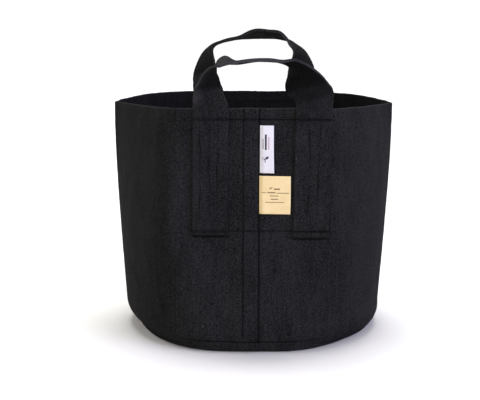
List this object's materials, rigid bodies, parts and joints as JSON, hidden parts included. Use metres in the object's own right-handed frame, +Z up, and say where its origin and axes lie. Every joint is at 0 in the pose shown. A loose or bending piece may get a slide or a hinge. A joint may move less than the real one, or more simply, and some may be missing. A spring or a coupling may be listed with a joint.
{
  "type": "fabric grow bag",
  "caption": "Open round planter bag of thick charcoal felt with two sewn strap handles, a lapped front seam, a woven side label and a tan tag.",
  "frame": {"origin": "middle of the footprint box, on the surface that the bag stands on", "axes": "+Z up out of the open mouth, -Y towards the lapped front with the labels, +X to the right of the front"},
  "size_m": [0.38, 0.4278, 0.4042],
  "materials": {
    "felt": "matte needle-punched felt",
    "strap_felt": "matte needle-punched felt, doubled",
    "thread": "polyester sewing thread",
    "white_label": "woven satin tape",
    "tan_tag": "matte coated tag cloth"
  },
  "bodies": {
    "bag": {"wall_panel": "felt", "base_panel": "felt", "front_left_leg": "strap_felt", "front_right_leg": "strap_felt", "back_left_leg": "strap_felt", "back_right_leg": "strap_felt", "lap_seam_stitches": "thread", "lap_bartack": "thread", "base_seam_stitches": "thread", "front_handle_top_stitches": "thread", "front_handle_bottom_stitches": "thread", "back_handle_top_stitches": "thread", "back_handle_bottom_stitches": "thread"},
    "front_handle": {"front_loop": "strap_felt"},
    "back_handle": {"back_loop": "strap_felt"},
    "woven_label_flap": {"woven_label": "white_label"},
    "size_tag_flap": {"size_tag": "tan_tag"}
  },
  "joints": [
    {"name": "front_handle_bend", "type": "hinge", "parent": "bag", "child": "front_handle", "pos_m": [0.01, -0.14592, 0.323], "axis": [1, 0, 0], "range_deg": [-175, 85]},
    {"name": "back_handle_bend", "type": "hinge", "parent": "bag", "child": "back_handle", "pos_m": [0.004, 0.18208, 0.323], "axis": [-1, 0, 0], "range_deg": [-136, 128]},
    {"name": "woven_label_bend", "type": "hinge", "parent": "bag", "child": "woven_label_flap", "pos_m": [0.0065, -0.15548, 0.26035], "axis": [0, -0.1307, -0.9914], "range_deg": [0, 165]},
    {"name": "size_tag_bend", "type": "hinge", "parent": "bag", "child": "size_tag_flap", "pos_m": [0.0065, -0.1631, 0.2025], "axis": [0, -0.1307, -0.9914], "range_deg": [0, 165]}
  ]
}
